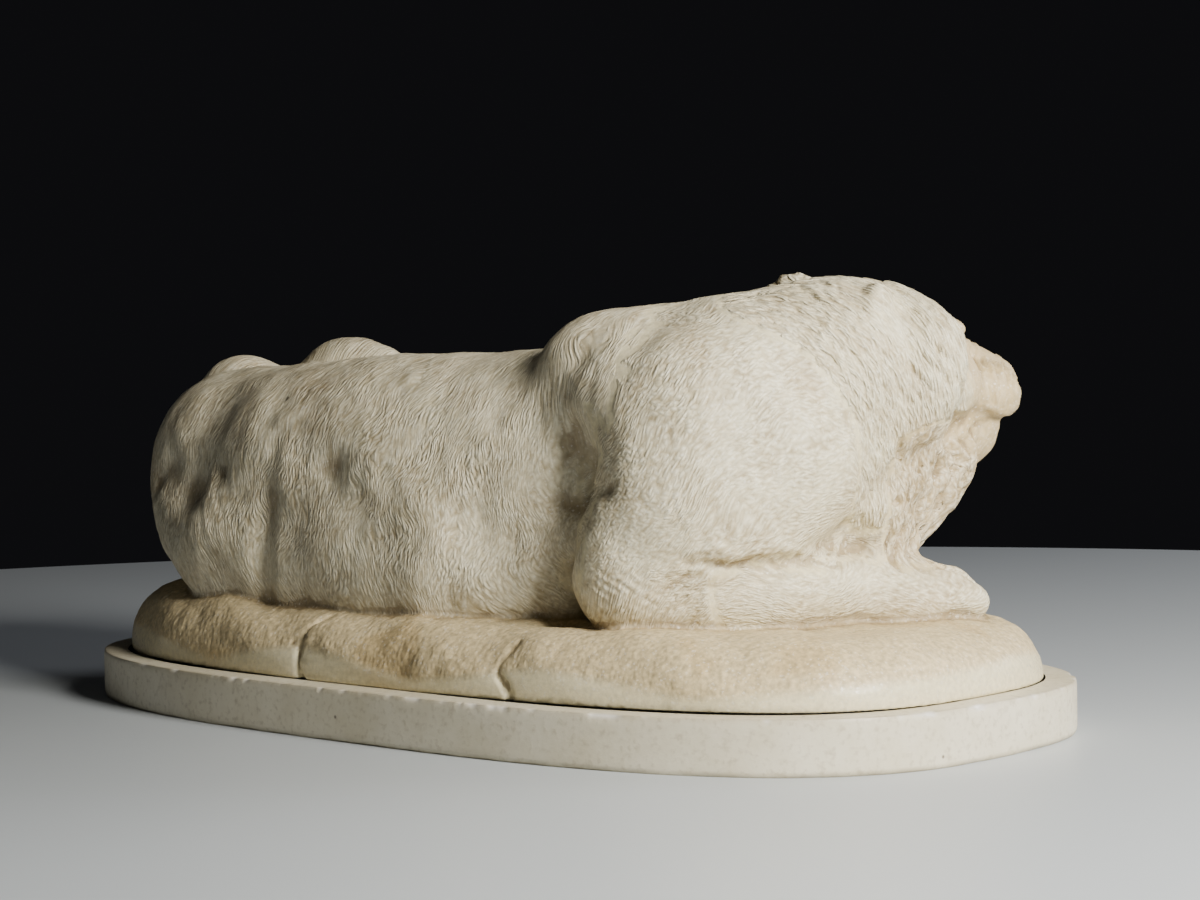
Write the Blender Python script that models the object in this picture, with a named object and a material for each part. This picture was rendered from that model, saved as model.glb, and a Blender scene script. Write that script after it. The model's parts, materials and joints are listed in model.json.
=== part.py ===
"""A reclining marble lion on a rocky ground, carved from one block, standing on an oval marble plinth.

The lion curls along the oval: its hindquarters lie on their right side, its chest and head turn to the left.
+X runs to the lion's front, +Y to its left side, +Z up. The origin is the centre of the plinth's underside.
"""

import math

import bmesh
import bpy
import numpy as np
from mathutils import Euler, Vector

# Driving dimensions, in metres
PLINTH_LENGTH = 0.450
PLINTH_WIDTH = 0.243
PLINTH_THICKNESS = 0.020
PLINTH_EDGE_BEVEL = 0.0008
LEDGE = 0.0115
SEAT_GAP = 0.0003
GROUND_HEIGHT = 0.027
GROUND_SHOULDER = 0.034
LION_LENGTH = 0.400

# The oval is a superellipse: 2 would be a plain ellipse, more is fuller at the corners
OVAL_POWER = 2.9
OVAL_POINTS = 80
GROUND_EDGE_POWER = 2.4

# The lion is drawn on a grid of its own: 400 units from rump to forepaw, z 0 on the ground it lies on
UNIT = LION_LENGTH / 400
GROUND_LENGTH = PLINTH_LENGTH - 2 * LEDGE
GROUND_WIDTH = PLINTH_WIDTH - 2 * LEDGE

# The ground falls towards the forepaws, by this much for each unit of length
GROUND_FALL = 0.0167

# The head's own frame: its centre, and the way the face looks, in degrees
HEAD_CENTRE = (136, 18, 100)
HEAD_YAW = 69
HEAD_PITCH = -10

# Fineness of the carving's mesh, in lion units, and the triangles it is thinned to
FIRST_VOXEL = 3.6
FINE_VOXEL = 2.1
FACE_BUDGET = 9300

MASSES = []
GROOVES = []
DENTS = []


def frame_of(yaw, pitch, roll=0):
    angles = Euler((math.radians(roll), math.radians(-pitch), math.radians(yaw)), "XYZ")
    return np.array(angles.to_matrix())


def on_head(ahead, left, up):
    """A point given in the head's own frame."""
    return tuple(np.array(HEAD_CENTRE) + frame_of(HEAD_YAW, HEAD_PITCH) @ np.array((ahead, left, up), float))


def ball(centre, radii, yaw=0, pitch=0, roll=0, fillet=8):
    """An ellipsoid of flesh, joined to what came before with a fillet."""
    MASSES.append(("ball", centre, radii, (yaw, pitch, roll), fillet))


def head_ball(place, radii, turn=0, tilt=0, roll=0, fillet=4):
    ball(on_head(*place), radii, HEAD_YAW + turn, HEAD_PITCH + tilt, roll, fillet)


def limb(stations, fillet=8):
    """A rounded limb through stations (x, y, z, radius)."""
    MASSES.append(("limb", stations, None, None, fillet))


def groove(line, depth, width):
    GROOVES.append((line, depth, width))


def dent(centre, depth, width):
    DENTS.append((centre, depth, width))


def paw(heel, yaw, length, spread, fillet=3):
    """A lion's paw: a broad pad and four toes side by side."""
    frame = frame_of(yaw, 0)

    def at(ahead, left, up):
        return tuple(np.array(heel) + frame @ np.array((ahead, left, up), float))

    ball(at(length * 0.35, 0, 2), (length * 0.55, spread * 1.05, 10), yaw, fillet=6)
    for side in (-0.78, -0.27, 0.27, 0.78):
        reach = length * (0.9 - 0.16 * abs(side))
        knuckle = at(length * 0.45, side * spread * 0.95, 2.5)
        tip = at(reach, side * spread * 1.05, -1.5)
        limb([(*knuckle, 7.0), (*tip, 6.2)], fillet)


def trunk():
    # pelvis, buttock, loin, ribcage, and the belly that spreads on the ground
    ball((-146.5, -34.5, 51), (46, 46.5, 44.5), yaw=-4, fillet=20)
    ball((-127, -44, 26), (47, 45.5, 30), yaw=-4, fillet=18)
    ball((-84, -42, 50), (66, 46, 48), fillet=22)
    ball((-42, -40, 50), (48, 44, 45.5), fillet=20)
    limb([(-112, -57, 14, 33), (-30, -61, 14, 33), (14, -60, 13, 32), (50, -52, 12, 26)], 18)
    ball((2, -32, 49.5), (66, 52, 49), yaw=4, fillet=24)
    ball((62, -24, 55), (58, 44, 49), yaw=22, fillet=22)
    limb([(-20, -2, 26, 24), (-66, 4, 26, 22), (-112, 18, 34, 22)], 16)


def forequarters():
    # withers, shoulder blade, upper arm, chest and the left shoulder
    ball((81, -35, 92), (34, 22, 24), yaw=42, pitch=-4, fillet=18)
    ball((102, -42, 80), (34, 22, 25), yaw=44, fillet=18)
    ball((131, -41, 62), (43, 25, 43), yaw=46, fillet=16)
    ball((120, -48, 38), (34, 24, 30), yaw=46, pitch=-14, fillet=12)
    limb([(126, -50, 50, 24), (105, -61, 24, 24)], 14)
    ball((124, -4, 66), (42, 42, 46), yaw=52, fillet=18)
    ball((84, 18, 58), (40, 24, 42), yaw=50, fillet=12)
    ball((62, 4, 84), (30, 18, 24), yaw=40, fillet=12)
    ball((78, 34, 34), (30, 18, 24), yaw=50, pitch=-10, fillet=10)


def right_foreleg():
    limb([(101, -61, 14, 22), (124, -46, 10, 17), (141, -27, 8, 15), (148, 6, 8, 14), (156, 30, 6, 13)], 5)
    paw((158, 34, 3), 53, 27, 13)
    ball((164, 20, 3), (22, 11, 10), yaw=53, fillet=6)


def left_foreleg():
    limb([(66, 34, 20, 20), (92, 60, 14, 15), (112, 74, 10, 13)], 8)
    paw((110, 74, 3), 24, 30, 13)


def neck():
    ball((117, -6, 85), (45, 38, 34.5), yaw=52, pitch=8, fillet=18)
    ball((140, 14, 92), (36, 36, 31), yaw=66, fillet=14)
    ball((144, 30, 74), (28, 30, 34), yaw=66, fillet=12)
    ball((106, 32, 82), (30, 24, 32), yaw=60, fillet=12)
    ball((118, 48, 52), (22, 20, 30), yaw=60, fillet=10)


def ruff():
    """The ring of mane around the face: low over the forehead, deep under the jaw."""
    for step in range(14):
        angle = 2 * math.pi * (step + 0.5) / 14
        rise = 12 if math.sin(angle) > 0 else 27
        place = (24 - 5 * abs(math.sin(angle)), 29 * math.cos(angle), -4 + rise * math.sin(angle))
        head_ball(place, (13, 16.5, 16.5), fillet=6)


def beard():
    limb([(150, 62, 62, 19), (147, 55, 48, 18.5), (141, 45, 32, 15), (133, 41, 20, 14)], 10)
    ball((136, 24, 44), (26, 28, 34), yaw=60, fillet=10)


def skull():
    head_ball((12, 0, 1), (35, 29, 25), fillet=8)
    head_ball((38, 0, -6), (20, 24, 20), fillet=6)
    limb([(*on_head(28, 0, 7), 13), (*on_head(50, 0, 2), 11.5), (*on_head(71, 0, -2), 9.5)], 4)
    ring = [on_head(35, 27 * math.cos(turn), -5 + 24 * math.sin(turn)) for turn in np.linspace(-2.2, 5.4, 13)]
    groove(ring, 2.6, 4)
    for side in (1, -1):
        head_ball((37, side * 13, 12), (11, 10, 6), turn=side * 18, fillet=4)
        head_ball((38, side * 19, -8), (18, 10, 16), turn=side * -14, fillet=6)
        head_ball((64, side * 9, -8.5), (15.5, 11.5, 12.5), fillet=3)
        head_ball((45, side * 15.5, 5), (5.5, 5.5, 4.5), fillet=1)
        groove([on_head(53, side * 8, 6), on_head(46, side * 17, 10), on_head(41, side * 21, 6)], 1.6, 2.4)
        groove([on_head(54, side * 9, 3), on_head(47, side * 18, 0), on_head(41, side * 21, 4)], 1.2, 2.0)
        dent(on_head(81, side * 5.5, -4), 2.2, 2.2)
        dent(on_head(53, side * 11, 4), 2.5, 5)
        dent(on_head(46, side * 24, 2), 2, 6)
        groove([on_head(80, 0, -18), on_head(74, side * 11, -18), on_head(54, side * 19, -18)], 2.2, 2.0)
    head_ball((73, 0, -2), (8, 11, 7.5), fillet=3)
    groove([on_head(28, 0, 26), on_head(46, 0, 16)], 1.6, 5)
    groove([on_head(82, 0, -5), on_head(80, 0, -17)], 1.4, 1.6)
    limb([(*on_head(42, 0, -20), 15), (*on_head(64, 0, -23), 12)], 4)


def ears():
    # the left ear stands up, the right one lies flat in the mane
    head_ball((-6, 29, 15), (8, 14, 12), turn=30, roll=-24, fillet=3)
    dent(on_head(4, 32, 17), 5, 6)
    head_ball((0, -25, 13), (6, 12, 9), turn=-40, roll=30, fillet=3)
    dent(on_head(8, -32, 13), 2, 4)


def left_hindleg():
    # hip, thigh and knee stand over the back, the shank folds back down behind
    ball((-170, 10, 68), (32, 30, 25), yaw=30, fillet=12)
    ball((-184, -9, 79), (25, 21, 22), yaw=30, fillet=8)
    ball((-155, 32, 61), (45, 25, 48), yaw=10, pitch=8, fillet=10)
    ball((-128, 42, 50), (30, 21, 30), yaw=16, pitch=30, fillet=10)
    limb([(-112, 48, 38, 17), (-142, 62, 19, 13), (-172, 66, 13, 10)], 7)
    limb([(-172, 63, 9, 11), (-146, 73, 7, 10), (-122, 78, 5, 10)], 5)
    paw((-128, 77, 2), 8, 30, 12)


def right_hindleg():
    limb([(-110, -10, 24, 24), (-78, 40, 12, 14), (-62, 64, 7, 11)], 10)
    paw((-66, 60, 2), 38, 30, 12)


def tail():
    limb([(-158, -62, 50, 12), (-176, -52, 46, 12), (-190, -33, 42, 11), (-198, -10, 34, 10),
          (-198, 20, 22, 8.5), (-190, 50, 9, 7.5),
          (-172, 80, 1, 7), (-146, 96, -3, 6.5), (-120, 99, -5, 6)], 6)
    ball((-102, 99, -4), (20, 8, 8), yaw=-2, fillet=4)


def folds_of_skin():
    """The creases and hollows that the right side shows."""
    dent((-130, -87, 46), 10, 11)
    dent((-149, -83, 50), 4, 8)
    groove([(-162, -76, 46), (-151, -82, 55), (-137, -85, 60), (-120, -87, 59), (-108, -88, 52)], 3.4, 5)
    groove([(-70, -87, 68), (-73, -90, 45), (-74, -93, 25), (-75, -90, 4)], 3, 6)
    dent((-36, -90, 56), 2.4, 8)
    groove([(81, -60, 92), (81, -62, 76), (78, -65, 60), (72, -66, 46)], 3, 10)
    groove([(66, -76, 33), (79, -72, 41), (92, -74, 46), (106, -78, 48)], 2.2, 5)
    groove([(76, -72, -2), (77, -76, 16), (84, -80, 30), (92, -82, 38)], 6, 6)
    groove([(133, -66, 23), (148, -45, 20), (156, -8, 19)], 1.8, 3)
    groove([(123, -70, 12), (132, -66, 17)], 1.2, 2.5)
    groove([(155, -40, 95), (168, -27, 80), (171, -12, 65), (163, -1, 49)], 2.2, 7)
    groove([(172, 54, 67), (170, 18, 54), (160, 7, 41)], 4.5, 5)
    dent((152, 6, 29), 7, 8)


def cracks():
    groove([(-27, -95, -2), (-37, -106, -12), (-31, -110, -27)], 1.8, 2.4)
    groove([(78, -100, -7), (75, -106, -17), (84, -108, -27)], 1.8, 2.4)


def collect_masses():
    for kept in (MASSES, GROOVES, DENTS):
        kept.clear()
    trunk()
    forequarters()
    right_foreleg()
    left_foreleg()
    neck()
    ruff()
    beard()
    skull()
    ears()
    left_hindleg()
    right_hindleg()
    tail()
    folds_of_skin()
    cracks()


# The carving as a distance function of an array of points, in lion units

def blend(first, second, width):
    """The union of two distances with a fillet of that width."""
    share = np.maximum(width - np.abs(first - second), 0) / width
    return np.minimum(first, second) - share * share * width / 4


def ball_distance(points, centre, radii, angles):
    local = (points - np.array(centre)) @ frame_of(*angles)
    radii = np.array(radii, float)
    near = np.linalg.norm(local / radii, axis=1)
    steep = np.linalg.norm(local / radii ** 2, axis=1)
    return near * (near - 1) / np.maximum(steep, 1e-6)


def line_distance(points, line):
    """The distance to a bent line, less its radius where its points carry one."""
    nearest = np.full(len(points), 1e9)
    for start, end in zip(line[:-1], line[1:]):
        a, b = np.array(start, float), np.array(end, float)
        along = b[:3] - a[:3]
        share = np.clip((points - a[:3]) @ along / (along @ along), 0, 1)
        gap = np.linalg.norm(points - a[:3] - share[:, None] * along, axis=1)
        if len(a) > 3:
            gap -= a[3] + (b[3] - a[3]) * share
        nearest = np.minimum(nearest, gap)
    return nearest


def oval_reach(points):
    """How far out a point lies on the ground's oval: 1 on its outline."""
    x = points[:, 0] / (GROUND_LENGTH / 2 / UNIT)
    y = points[:, 1] / (GROUND_WIDTH / 2 / UNIT)
    return (np.abs(x) ** OVAL_POWER + np.abs(y) ** OVAL_POWER) ** (1 / OVAL_POWER)


def rock_waves(points):
    """Slow swells of the rough ground."""
    x, y, z = points.T
    return (np.sin(x / 17 + 1.3 * np.sin(y / 23)) * np.sin(y / 15 + 0.9 * np.sin(x / 31) + 1)
            + 0.6 * np.sin(x / 9 + y / 14 + z / 7))


def skin_waves(points):
    """Slow swells of flesh and ribs under the skin."""
    x, y, z = points.T
    return np.sin(x / 14 + z / 20 + np.sin(y / 20)) * np.sin(z / 16 + x / 33 + y / 27)


def ground_distance(points):
    """The rocky ground: an oval block with rounded shoulders, swells and two cracks."""
    height = GROUND_HEIGHT / UNIT
    shoulder = GROUND_SHOULDER / UNIT
    reach = oval_reach(points)
    to_centre = np.hypot(points[:, 0], points[:, 1])
    inward = np.where(reach > 1e-6, to_centre * (1 / np.maximum(reach, 1e-6) - 1), shoulder)
    fall = 1 - np.minimum(inward, shoulder) / shoulder
    top = height - 1 - GROUND_FALL * points[:, 0]
    lift = np.maximum(points[:, 2] + height, 0) / top
    distance = ((fall ** GROUND_EDGE_POWER + lift ** GROUND_EDGE_POWER) ** (1 / GROUND_EDGE_POWER) - 1) * height
    return distance - 0.9 * rock_waves(points) * np.clip(lift * 1.6, 0, 1)


def locks(across, along, width, length):
    """Overlapping pointed locks: across and along are distances on the hair, the height is 0 to 1."""
    height = np.zeros_like(across)
    for row in (0, 1):
        shift = along / length + row * 0.5
        place = shift - np.floor(shift)
        side = across / width + 0.5 * row + 0.35 * np.floor(shift)
        middle = np.abs(side - np.floor(side) - 0.5) * 2
        body = np.clip(1 - middle ** 2 - place ** 3, 0, 1)
        height = np.maximum(height, body * (0.45 + 0.55 * place))
    return height


def mane_height(points):
    """The mane's locks: they sweep in arcs round the shoulders, and radiate from the face."""
    ahead, left, up = ((points - np.array(HEAD_CENTRE)) @ frame_of(HEAD_YAW, HEAD_PITCH)).T
    right_side = np.clip(0.5 - left / 16, 0, 1)
    height = np.zeros(len(points))
    for share, shoulder in ((right_side, (118, -50, 44)), (1 - right_side, (66, 26, 44))):
        away = points - np.array(shoulder)
        radius = np.linalg.norm(away, axis=1)
        turn = np.arctan2(away[:, 2], np.hypot(away[:, 0], away[:, 1])) * 60
        bend = 1.6 * np.sin(turn / 9) + 1.2 * np.sin(turn / 4 + radius / 6)
        height += share * locks(radius + bend, -turn, 7, 17)
    around = np.arctan2(up + 6, left) * 34
    outward = np.hypot(left, up + 6) - ahead
    rays = locks(around + 2 * np.sin(outward / 8), outward, 10, 26)
    front = np.clip((ahead - 6 - 20 * right_side) / 9, 0, 1)
    return height * (1 - front) + 1.6 * rays * front


def mane_share(points):
    """1 in the mane, 0 on the face and the body."""
    head = (points - np.array(HEAD_CENTRE)) @ frame_of(HEAD_YAW, HEAD_PITCH)
    off_axis = np.hypot(head[:, 1], (head[:, 2] + 4) * 0.85)
    face = np.clip((head[:, 0] - 26) / 6, 0, 1) * np.clip((30 - off_axis) / 4, 0, 1)
    x, y, z = points.T
    edge = np.interp(z, (30, 42, 57, 72, 87, 98, 109, 114), (113, 115, 117, 115, 105, 95, 74, 64))
    to_right = np.clip((0.68 * x - 0.73 * y - 65) / 20, 0, 1)
    off_shoulder = np.maximum(np.clip((0.73 * x + 0.68 * y - edge + 3) / 6, 0, 1), 1 - to_right)
    from_left = np.linalg.norm((points - np.array((56, 26, 30))) / np.array((52, 50, 64)), axis=1)
    off_left = np.clip((from_left - 0.98) / 0.12, 0, 1)
    high = np.clip((z - 26) / 8, 0, 1)
    forward = np.clip((x + 0.7 * y - 92) / 14, 0, 1)
    return (1 - face) * off_shoulder * off_left * high * forward


def beard_share(points):
    x, y, z = points.T
    ahead = np.clip((x * 0.73 + y * 0.68 - 122) / 8, 0, 1)
    return ahead * np.clip((y - 8) / 14, 0, 1) * np.clip((z - 12) / 8, 0, 1) * np.clip((74 - z) / 10, 0, 1)


def beard_height(points):
    x, y, z = points.T
    around = np.arctan2(y - 26, x - 118) * 38
    return locks(around + 2 * np.sin(z / 8), -z - 4 * np.sin(around / 7), 9, 26)


def add_hair(points, distance):
    beard_part = beard_share(points)
    mane_part = mane_share(points) * (1 - beard_part)
    distance = distance - mane_part * (1.8 * mane_height(points) - 0.7)
    return distance - beard_part * (5 * beard_height(points) - 2)


def join_masses(points):
    distance = np.full(len(points), 60.0)
    for kind, place, radii, angles, fillet in MASSES:
        if kind == "ball":
            centre, reach = np.array(place), max(radii)
        else:
            ends = np.array(place, float)
            centre = ends[:, :3].mean(axis=0)
            reach = (np.linalg.norm(ends[:, :3] - centre, axis=1) + ends[:, 3]).max()
        near = np.linalg.norm(points - centre, axis=1) - reach < distance + fillet
        some = points[near]
        if kind == "ball":
            close = ball_distance(some, place, radii, angles)
        else:
            close = line_distance(some, place)
        distance[near] = blend(distance[near], close, fillet)
    return distance


def carving_distance(points):
    distance = add_hair(points, join_masses(points) - 0.7 * skin_waves(points))
    distance = blend(distance, ground_distance(points), 3)
    for line, depth, width in GROOVES:
        distance += depth * np.exp(-(line_distance(points, line) / width) ** 2)
    for centre, depth, width in DENTS:
        distance += depth * np.exp(-(np.linalg.norm(points - np.array(centre), axis=1) / width) ** 2)
    return distance


def slope(points, step=0.5):
    """The gradient of the carving, from four samples at a tetrahedron's corners."""
    corners = np.array([(1, -1, -1), (-1, -1, 1), (-1, 1, -1), (1, 1, 1)], float)
    total = np.zeros_like(points)
    for corner in corners:
        total += corner * carving_distance(points + corner * step)[:, None]
    return total / (4 * step)


def settle(mesh, rounds):
    """Moves the mesh's points onto the carving's surface."""
    points = np.empty(len(mesh.vertices) * 3)
    mesh.vertices.foreach_get("co", points)
    points = points.reshape(-1, 3)
    for _ in range(rounds):
        gradient = slope(points)
        size = np.maximum((gradient ** 2).sum(1), 0.1)
        points -= np.clip(carving_distance(points) / size, -3, 3)[:, None] * gradient
    mesh.vertices.foreach_set("co", points.ravel())
    mesh.update()


def oval(half_length, half_width):
    """Points of the plinth's outline."""
    points = []
    for i in range(OVAL_POINTS):
        angle = 2 * math.pi * i / OVAL_POINTS
        c, s = math.cos(angle), math.sin(angle)
        x = half_length * math.copysign(abs(c) ** (2 / OVAL_POWER), c)
        y = half_width * math.copysign(abs(s) ** (2 / OVAL_POWER), s)
        points.append((x, y))
    return points


def add_prism(block, outline, low, high):
    rings = [[block.verts.new((x, y, z)) for x, y in outline] for z in (low, high)]
    block.faces.new(rings[0][::-1])
    block.faces.new(rings[1])
    for i in range(len(outline)):
        j = (i + 1) % len(outline)
        block.faces.new((rings[0][i], rings[0][j], rings[1][j], rings[1][i]))


def rough_block():
    """The lion's lumps and the oval ground, before they are joined and smoothed."""
    block = bmesh.new()
    for kind, place, radii, angles, _ in MASSES:
        if kind == "ball":
            turn = Euler((math.radians(angles[2]), math.radians(-angles[1]), math.radians(angles[0])), "XYZ")
            for vert in bmesh.ops.create_icosphere(block, subdivisions=3, radius=1)["verts"]:
                stretched = Vector([vert.co[i] * radii[i] for i in range(3)])
                vert.co = turn.to_matrix() @ stretched + Vector(place)
            continue
        for start, end in zip(place[:-1], place[1:]):
            a, b = Vector(start[:3]), Vector(end[:3])
            for vert in bmesh.ops.create_icosphere(block, subdivisions=3, radius=1)["verts"]:
                ahead = vert.co.dot(b - a) > 0
                vert.co = b + vert.co * end[3] if ahead else a + vert.co * start[3]
    outline = oval(GROUND_LENGTH / 2 / UNIT, GROUND_WIDTH / 2 / UNIT)
    add_prism(block, outline, -GROUND_HEIGHT / UNIT - 8, -3)
    return block


def apply_modifier(thing, kind, **settings):
    modifier = thing.modifiers.new(kind.lower(), kind)
    for name, value in settings.items():
        setattr(modifier, name, value)
    bpy.context.view_layer.objects.active = thing
    bpy.ops.object.modifier_apply(modifier=modifier.name)


def marble(name, colour, roughness):
    material = bpy.data.materials.new(name)
    material.use_nodes = True
    shader = material.node_tree.nodes["Principled BSDF"]
    shader.inputs["Base Color"].default_value = (*colour, 1)
    shader.inputs["Roughness"].default_value = roughness
    shader.inputs["Metallic"].default_value = 0
    material.diffuse_color = (*colour, 1)
    return material


def new_object(name, block, material):
    mesh = bpy.data.meshes.new(name)
    block.to_mesh(mesh)
    block.free()
    mesh.materials.append(material)
    thing = bpy.data.objects.new(name, mesh)
    bpy.context.scene.collection.objects.link(thing)
    return thing


def cut_underside(mesh):
    """Saws the block flat where it seats on the plinth."""
    block = bmesh.new()
    block.from_mesh(mesh)
    everything = block.verts[:] + block.edges[:] + block.faces[:]
    seat = (0, 0, -GROUND_HEIGHT / UNIT)
    bmesh.ops.bisect_plane(block, geom=everything, plane_co=seat, plane_no=(0, 0, 1), clear_inner=True)
    rim = [edge for edge in block.edges if edge.is_boundary]
    bmesh.ops.holes_fill(block, edges=rim, sides=0)
    bmesh.ops.triangulate(block, faces=block.faces)
    bmesh.ops.recalc_face_normals(block, faces=block.faces)
    for vert in block.verts:
        vert.co = vert.co * UNIT
    block.to_mesh(mesh)
    block.free()


def make_lion(material):
    collect_masses()
    thing = new_object("lion_on_rocky_ground", rough_block(), material)
    apply_modifier(thing, "REMESH", mode="VOXEL", voxel_size=FIRST_VOXEL)
    settle(thing.data, 3)
    apply_modifier(thing, "REMESH", mode="VOXEL", voxel_size=FINE_VOXEL)
    settle(thing.data, 2)
    apply_modifier(thing, "TRIANGULATE")
    apply_modifier(thing, "DECIMATE", ratio=FACE_BUDGET / len(thing.data.polygons))
    cut_underside(thing.data)
    thing.location.z = PLINTH_THICKNESS + SEAT_GAP + GROUND_HEIGHT
    thing.data.shade_smooth()
    return thing


def make_plinth(material):
    block = bmesh.new()
    add_prism(block, oval(PLINTH_LENGTH / 2, PLINTH_WIDTH / 2), 0, PLINTH_THICKNESS)
    bmesh.ops.recalc_face_normals(block, faces=block.faces)
    thing = new_object("oval_plinth", block, material)
    bevel = thing.modifiers.new("edge", "BEVEL")
    bevel.width = PLINTH_EDGE_BEVEL
    bevel.segments = 1
    bevel.limit_method = "ANGLE"
    bevel.angle_limit = math.radians(60)
    thing.data.shade_smooth()
    thing.data.set_sharp_from_angle(angle=math.radians(40))
    return thing


def main():
    for thing in list(bpy.data.objects):
        bpy.data.objects.remove(thing)
    make_lion(marble("aged white marble, carved", (0.74, 0.69, 0.59), 0.55))
    make_plinth(marble("aged white marble, sawn and rubbed", (0.71, 0.67, 0.60), 0.5))


main()
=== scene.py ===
"""The looks of a reclining marble lion on a rocky ground and an oval plinth, lit in a plain studio.

The carved block and the plinth are cut again at the tool's own fineness, over the solids that carry them:
fur strokes, locks of mane, wrinkles and claws on the lion, chisel marks on the rock, chips on the plinth.
"""

import json
import math

import bpy
import numpy as np
from mathutils import Euler, Matrix, Vector

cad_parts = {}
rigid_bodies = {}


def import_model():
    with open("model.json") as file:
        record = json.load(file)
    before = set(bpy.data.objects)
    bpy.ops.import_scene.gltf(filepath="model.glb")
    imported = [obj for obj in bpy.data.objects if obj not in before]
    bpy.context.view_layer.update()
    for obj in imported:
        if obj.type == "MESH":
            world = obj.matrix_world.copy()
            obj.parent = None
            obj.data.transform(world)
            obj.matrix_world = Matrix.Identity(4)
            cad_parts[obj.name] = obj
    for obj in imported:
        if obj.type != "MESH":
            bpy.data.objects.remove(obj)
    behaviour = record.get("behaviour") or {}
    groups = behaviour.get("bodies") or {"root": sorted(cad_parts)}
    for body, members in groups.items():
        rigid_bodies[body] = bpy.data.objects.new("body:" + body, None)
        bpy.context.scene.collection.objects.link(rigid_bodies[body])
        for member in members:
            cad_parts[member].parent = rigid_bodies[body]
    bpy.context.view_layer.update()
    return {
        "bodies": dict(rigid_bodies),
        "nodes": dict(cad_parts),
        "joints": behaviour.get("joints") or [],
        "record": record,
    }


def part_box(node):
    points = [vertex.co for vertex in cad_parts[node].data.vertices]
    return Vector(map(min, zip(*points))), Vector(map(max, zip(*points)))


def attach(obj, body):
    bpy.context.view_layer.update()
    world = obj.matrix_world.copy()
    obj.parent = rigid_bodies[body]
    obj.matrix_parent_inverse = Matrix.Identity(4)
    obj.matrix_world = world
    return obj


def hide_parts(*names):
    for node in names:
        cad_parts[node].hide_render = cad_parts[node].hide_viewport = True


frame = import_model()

# Sizes in metres, read from the solids where they give them
BLOCK = "lion_on_rocky_ground"
PLINTH = "oval_plinth"
BLOCK_LOW, BLOCK_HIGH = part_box(BLOCK)
PLINTH_LOW, PLINTH_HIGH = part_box(PLINTH)
MILLIMETRE = 0.001
LEDGE = 0.0115
GROUND_HEIGHT = 0.027
GROUND_SHOULDER = 0.034
LION_LENGTH = 0.400
OVAL_POWER = 2.9
GROUND_EDGE_POWER = 2.4
UNIT = LION_LENGTH / 400
GROUND_LENGTH = PLINTH_HIGH[0] - PLINTH_LOW[0] - 2 * LEDGE
GROUND_WIDTH = PLINTH_HIGH[1] - PLINTH_LOW[1] - 2 * LEDGE
GROUND_TOP = BLOCK_LOW[2] + GROUND_HEIGHT
GROUND_FALL = 0.0167
HEAD_CENTRE = (136, 18, 100)
HEAD_YAW = 69
HEAD_PITCH = -10

# The finest tool mark that the mesh holds, and the triangles it is thinned to
FINE_VOXEL = 0.00118
BLOCK_TRIANGLES = 196000

# How far the mesh may move in one pass of carving, in lion units, first and last
CARVE_REACH = 1.6
LAST_REACH = 1.0

# How far the painted shade and dust spread from the line where the lion meets the rock, in lion units
CONTACT_WIDTH = 3.0

# The last grooves of the form are the cracks in the rock
CRACKS = 2

MASSES = []
GROOVES = []
DENTS = []


def frame_of(yaw, pitch, roll=0):
    angles = Euler((math.radians(roll), math.radians(-pitch), math.radians(yaw)), "XYZ")
    return np.array(angles.to_matrix())


def in_head(points):
    """Points given in the head's own frame: ahead, left and up."""
    return ((points - np.array(HEAD_CENTRE)) @ frame_of(HEAD_YAW, HEAD_PITCH)).T


def on_head(ahead, left, up):
    """A point given in the head's own frame."""
    return tuple(np.array(HEAD_CENTRE) + frame_of(HEAD_YAW, HEAD_PITCH) @ np.array((ahead, left, up), float))


def ball(centre, radii, yaw=0, pitch=0, roll=0, fillet=8):
    """An ellipsoid of flesh, joined to what came before with a fillet."""
    MASSES.append(("ball", centre, radii, (yaw, pitch, roll), fillet))


def head_ball(place, radii, turn=0, tilt=0, roll=0, fillet=4):
    ball(on_head(*place), radii, HEAD_YAW + turn, HEAD_PITCH + tilt, roll, fillet)


def limb(stations, fillet=8):
    """A rounded limb through stations (x, y, z, radius)."""
    MASSES.append(("limb", stations, None, None, fillet))


def groove(line, depth, width):
    GROOVES.append((line, depth, width))


def dent(centre, depth, width):
    DENTS.append((centre, depth, width))


def paw(heel, yaw, length, spread, fillet=3):
    """A lion's paw: a broad pad and four toes side by side."""
    frame = frame_of(yaw, 0)

    def at(ahead, left, up):
        return tuple(np.array(heel) + frame @ np.array((ahead, left, up), float))

    ball(at(length * 0.35, 0, 2), (length * 0.55, spread * 1.05, 10), yaw, fillet=6)
    for side in (-0.78, -0.27, 0.27, 0.78):
        reach = length * (0.9 - 0.16 * abs(side))
        knuckle = at(length * 0.45, side * spread * 0.95, 2.5)
        tip = at(reach, side * spread * 1.05, -1.5)
        limb([(*knuckle, 7.0), (*tip, 6.2)], fillet)


def trunk():
    # pelvis, buttock, loin, ribcage, and the belly that spreads on the ground
    ball((-146.5, -34.5, 51), (46, 46.5, 44.5), yaw=-4, fillet=20)
    ball((-127, -44, 26), (47, 45.5, 30), yaw=-4, fillet=18)
    ball((-84, -42, 50), (66, 46, 48), fillet=22)
    ball((-42, -40, 50), (48, 44, 45.5), fillet=20)
    limb([(-112, -57, 14, 33), (-30, -61, 14, 33), (14, -60, 13, 32), (50, -52, 12, 26)], 18)
    ball((2, -32, 49.5), (66, 52, 49), yaw=4, fillet=24)
    ball((62, -24, 55), (58, 44, 49), yaw=22, fillet=22)
    limb([(-20, -2, 26, 24), (-66, 4, 26, 22), (-112, 18, 34, 22)], 16)


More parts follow.
